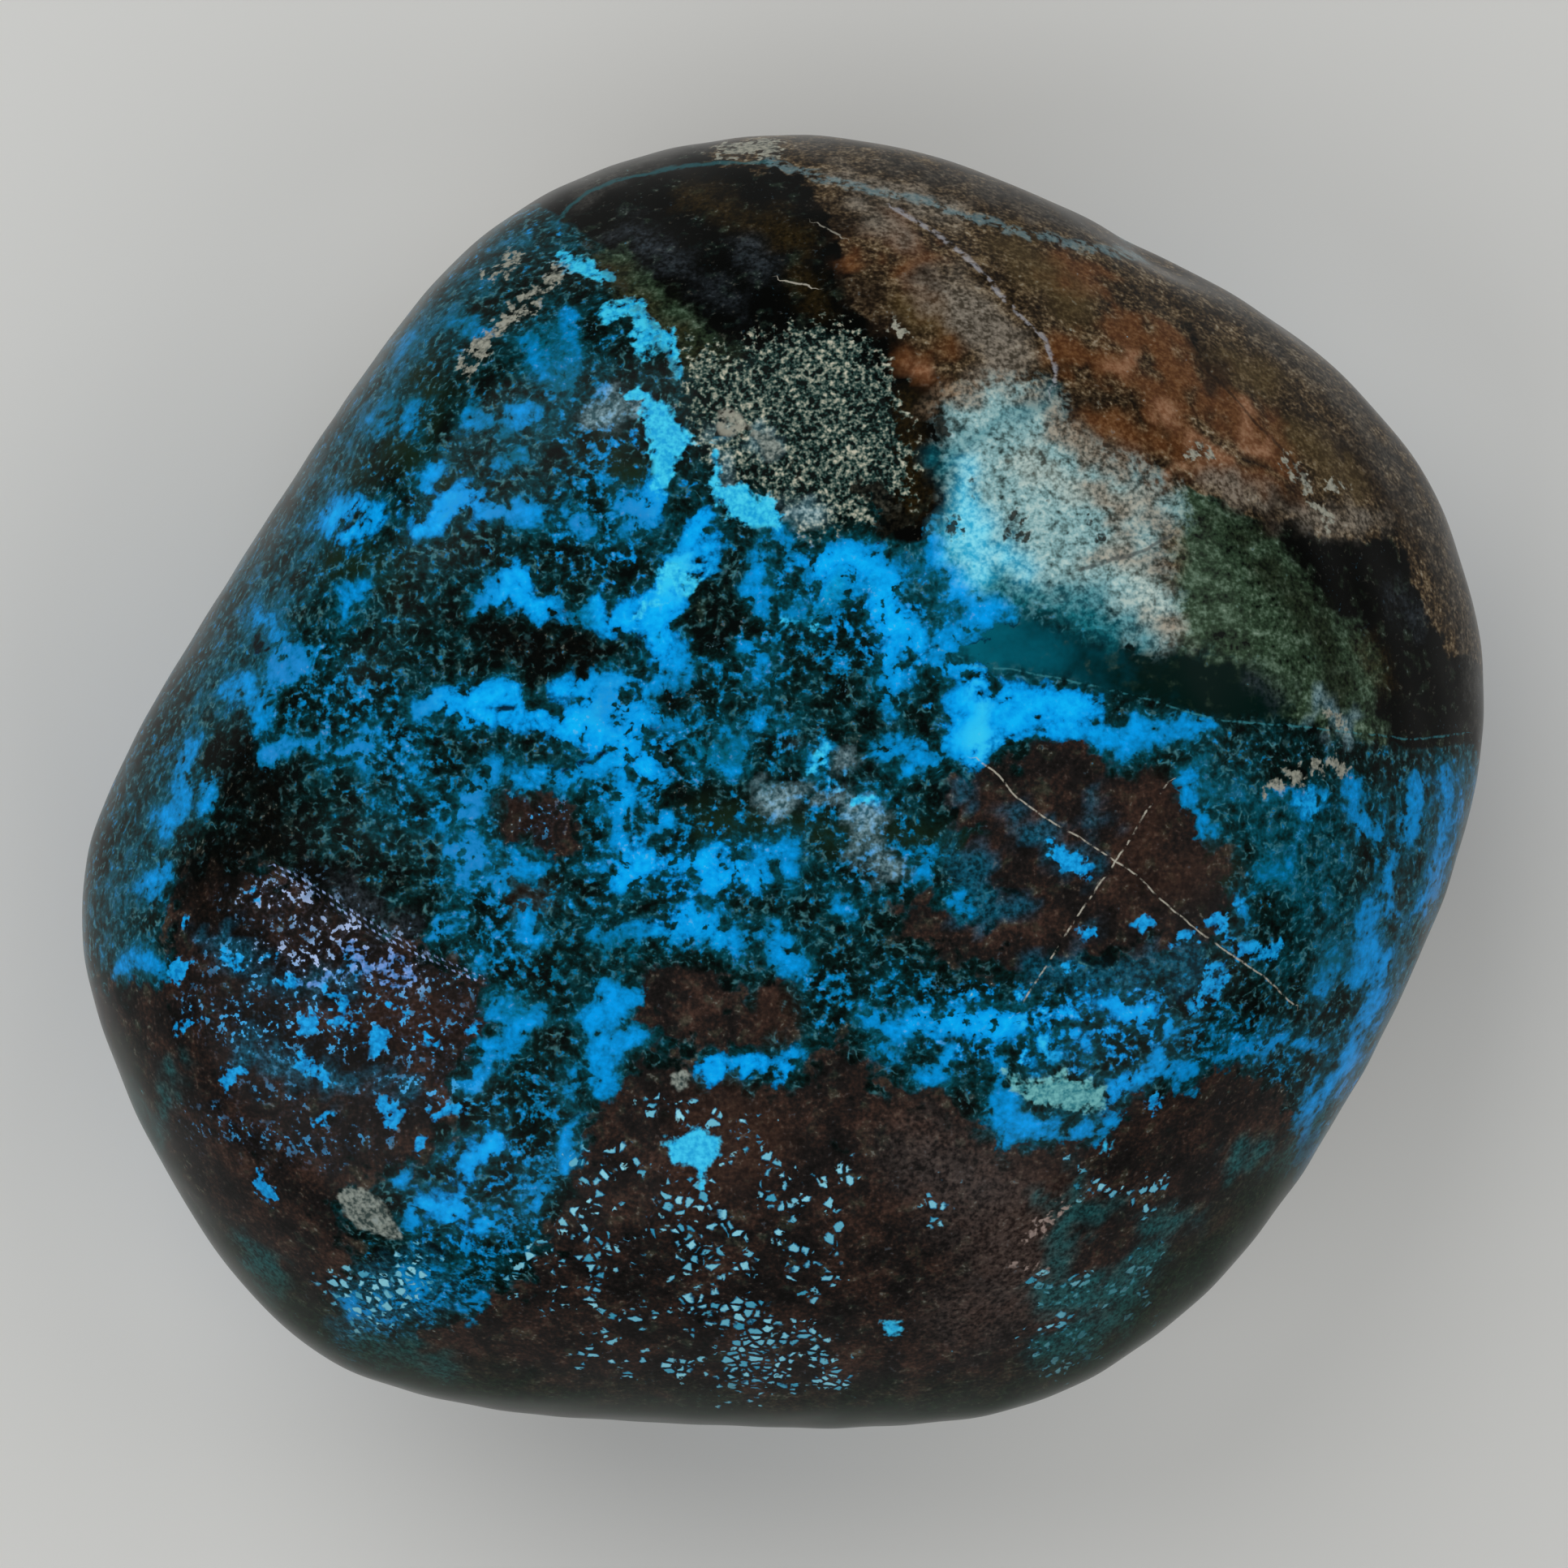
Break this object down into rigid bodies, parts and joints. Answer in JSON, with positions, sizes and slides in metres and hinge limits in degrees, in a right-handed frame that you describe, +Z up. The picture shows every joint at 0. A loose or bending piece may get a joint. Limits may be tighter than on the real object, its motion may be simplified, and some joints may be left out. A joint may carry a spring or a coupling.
{
  "type": "chrysocolla palm stone",
  "caption": "Polished chrysocolla palm stone: a plump rounded pillow with soft ground flats, blue and teal over maroon and brown, and a flat underside to rest on.",
  "frame": {"origin": "on the resting flat, below the middle of the stone's outline", "axes": "+Z up out of the resting flat, along the stone's thickness; +X along its longest reach, with the brown end towards +X +Y"},
  "size_m": [0.062, 0.0572, 0.0319],
  "materials": {
    "chrysocolla": "polished to a wet shine"
  },
  "bodies": {
    "root": {"palm_stone": "chrysocolla"}
  },
  "joints": []
}
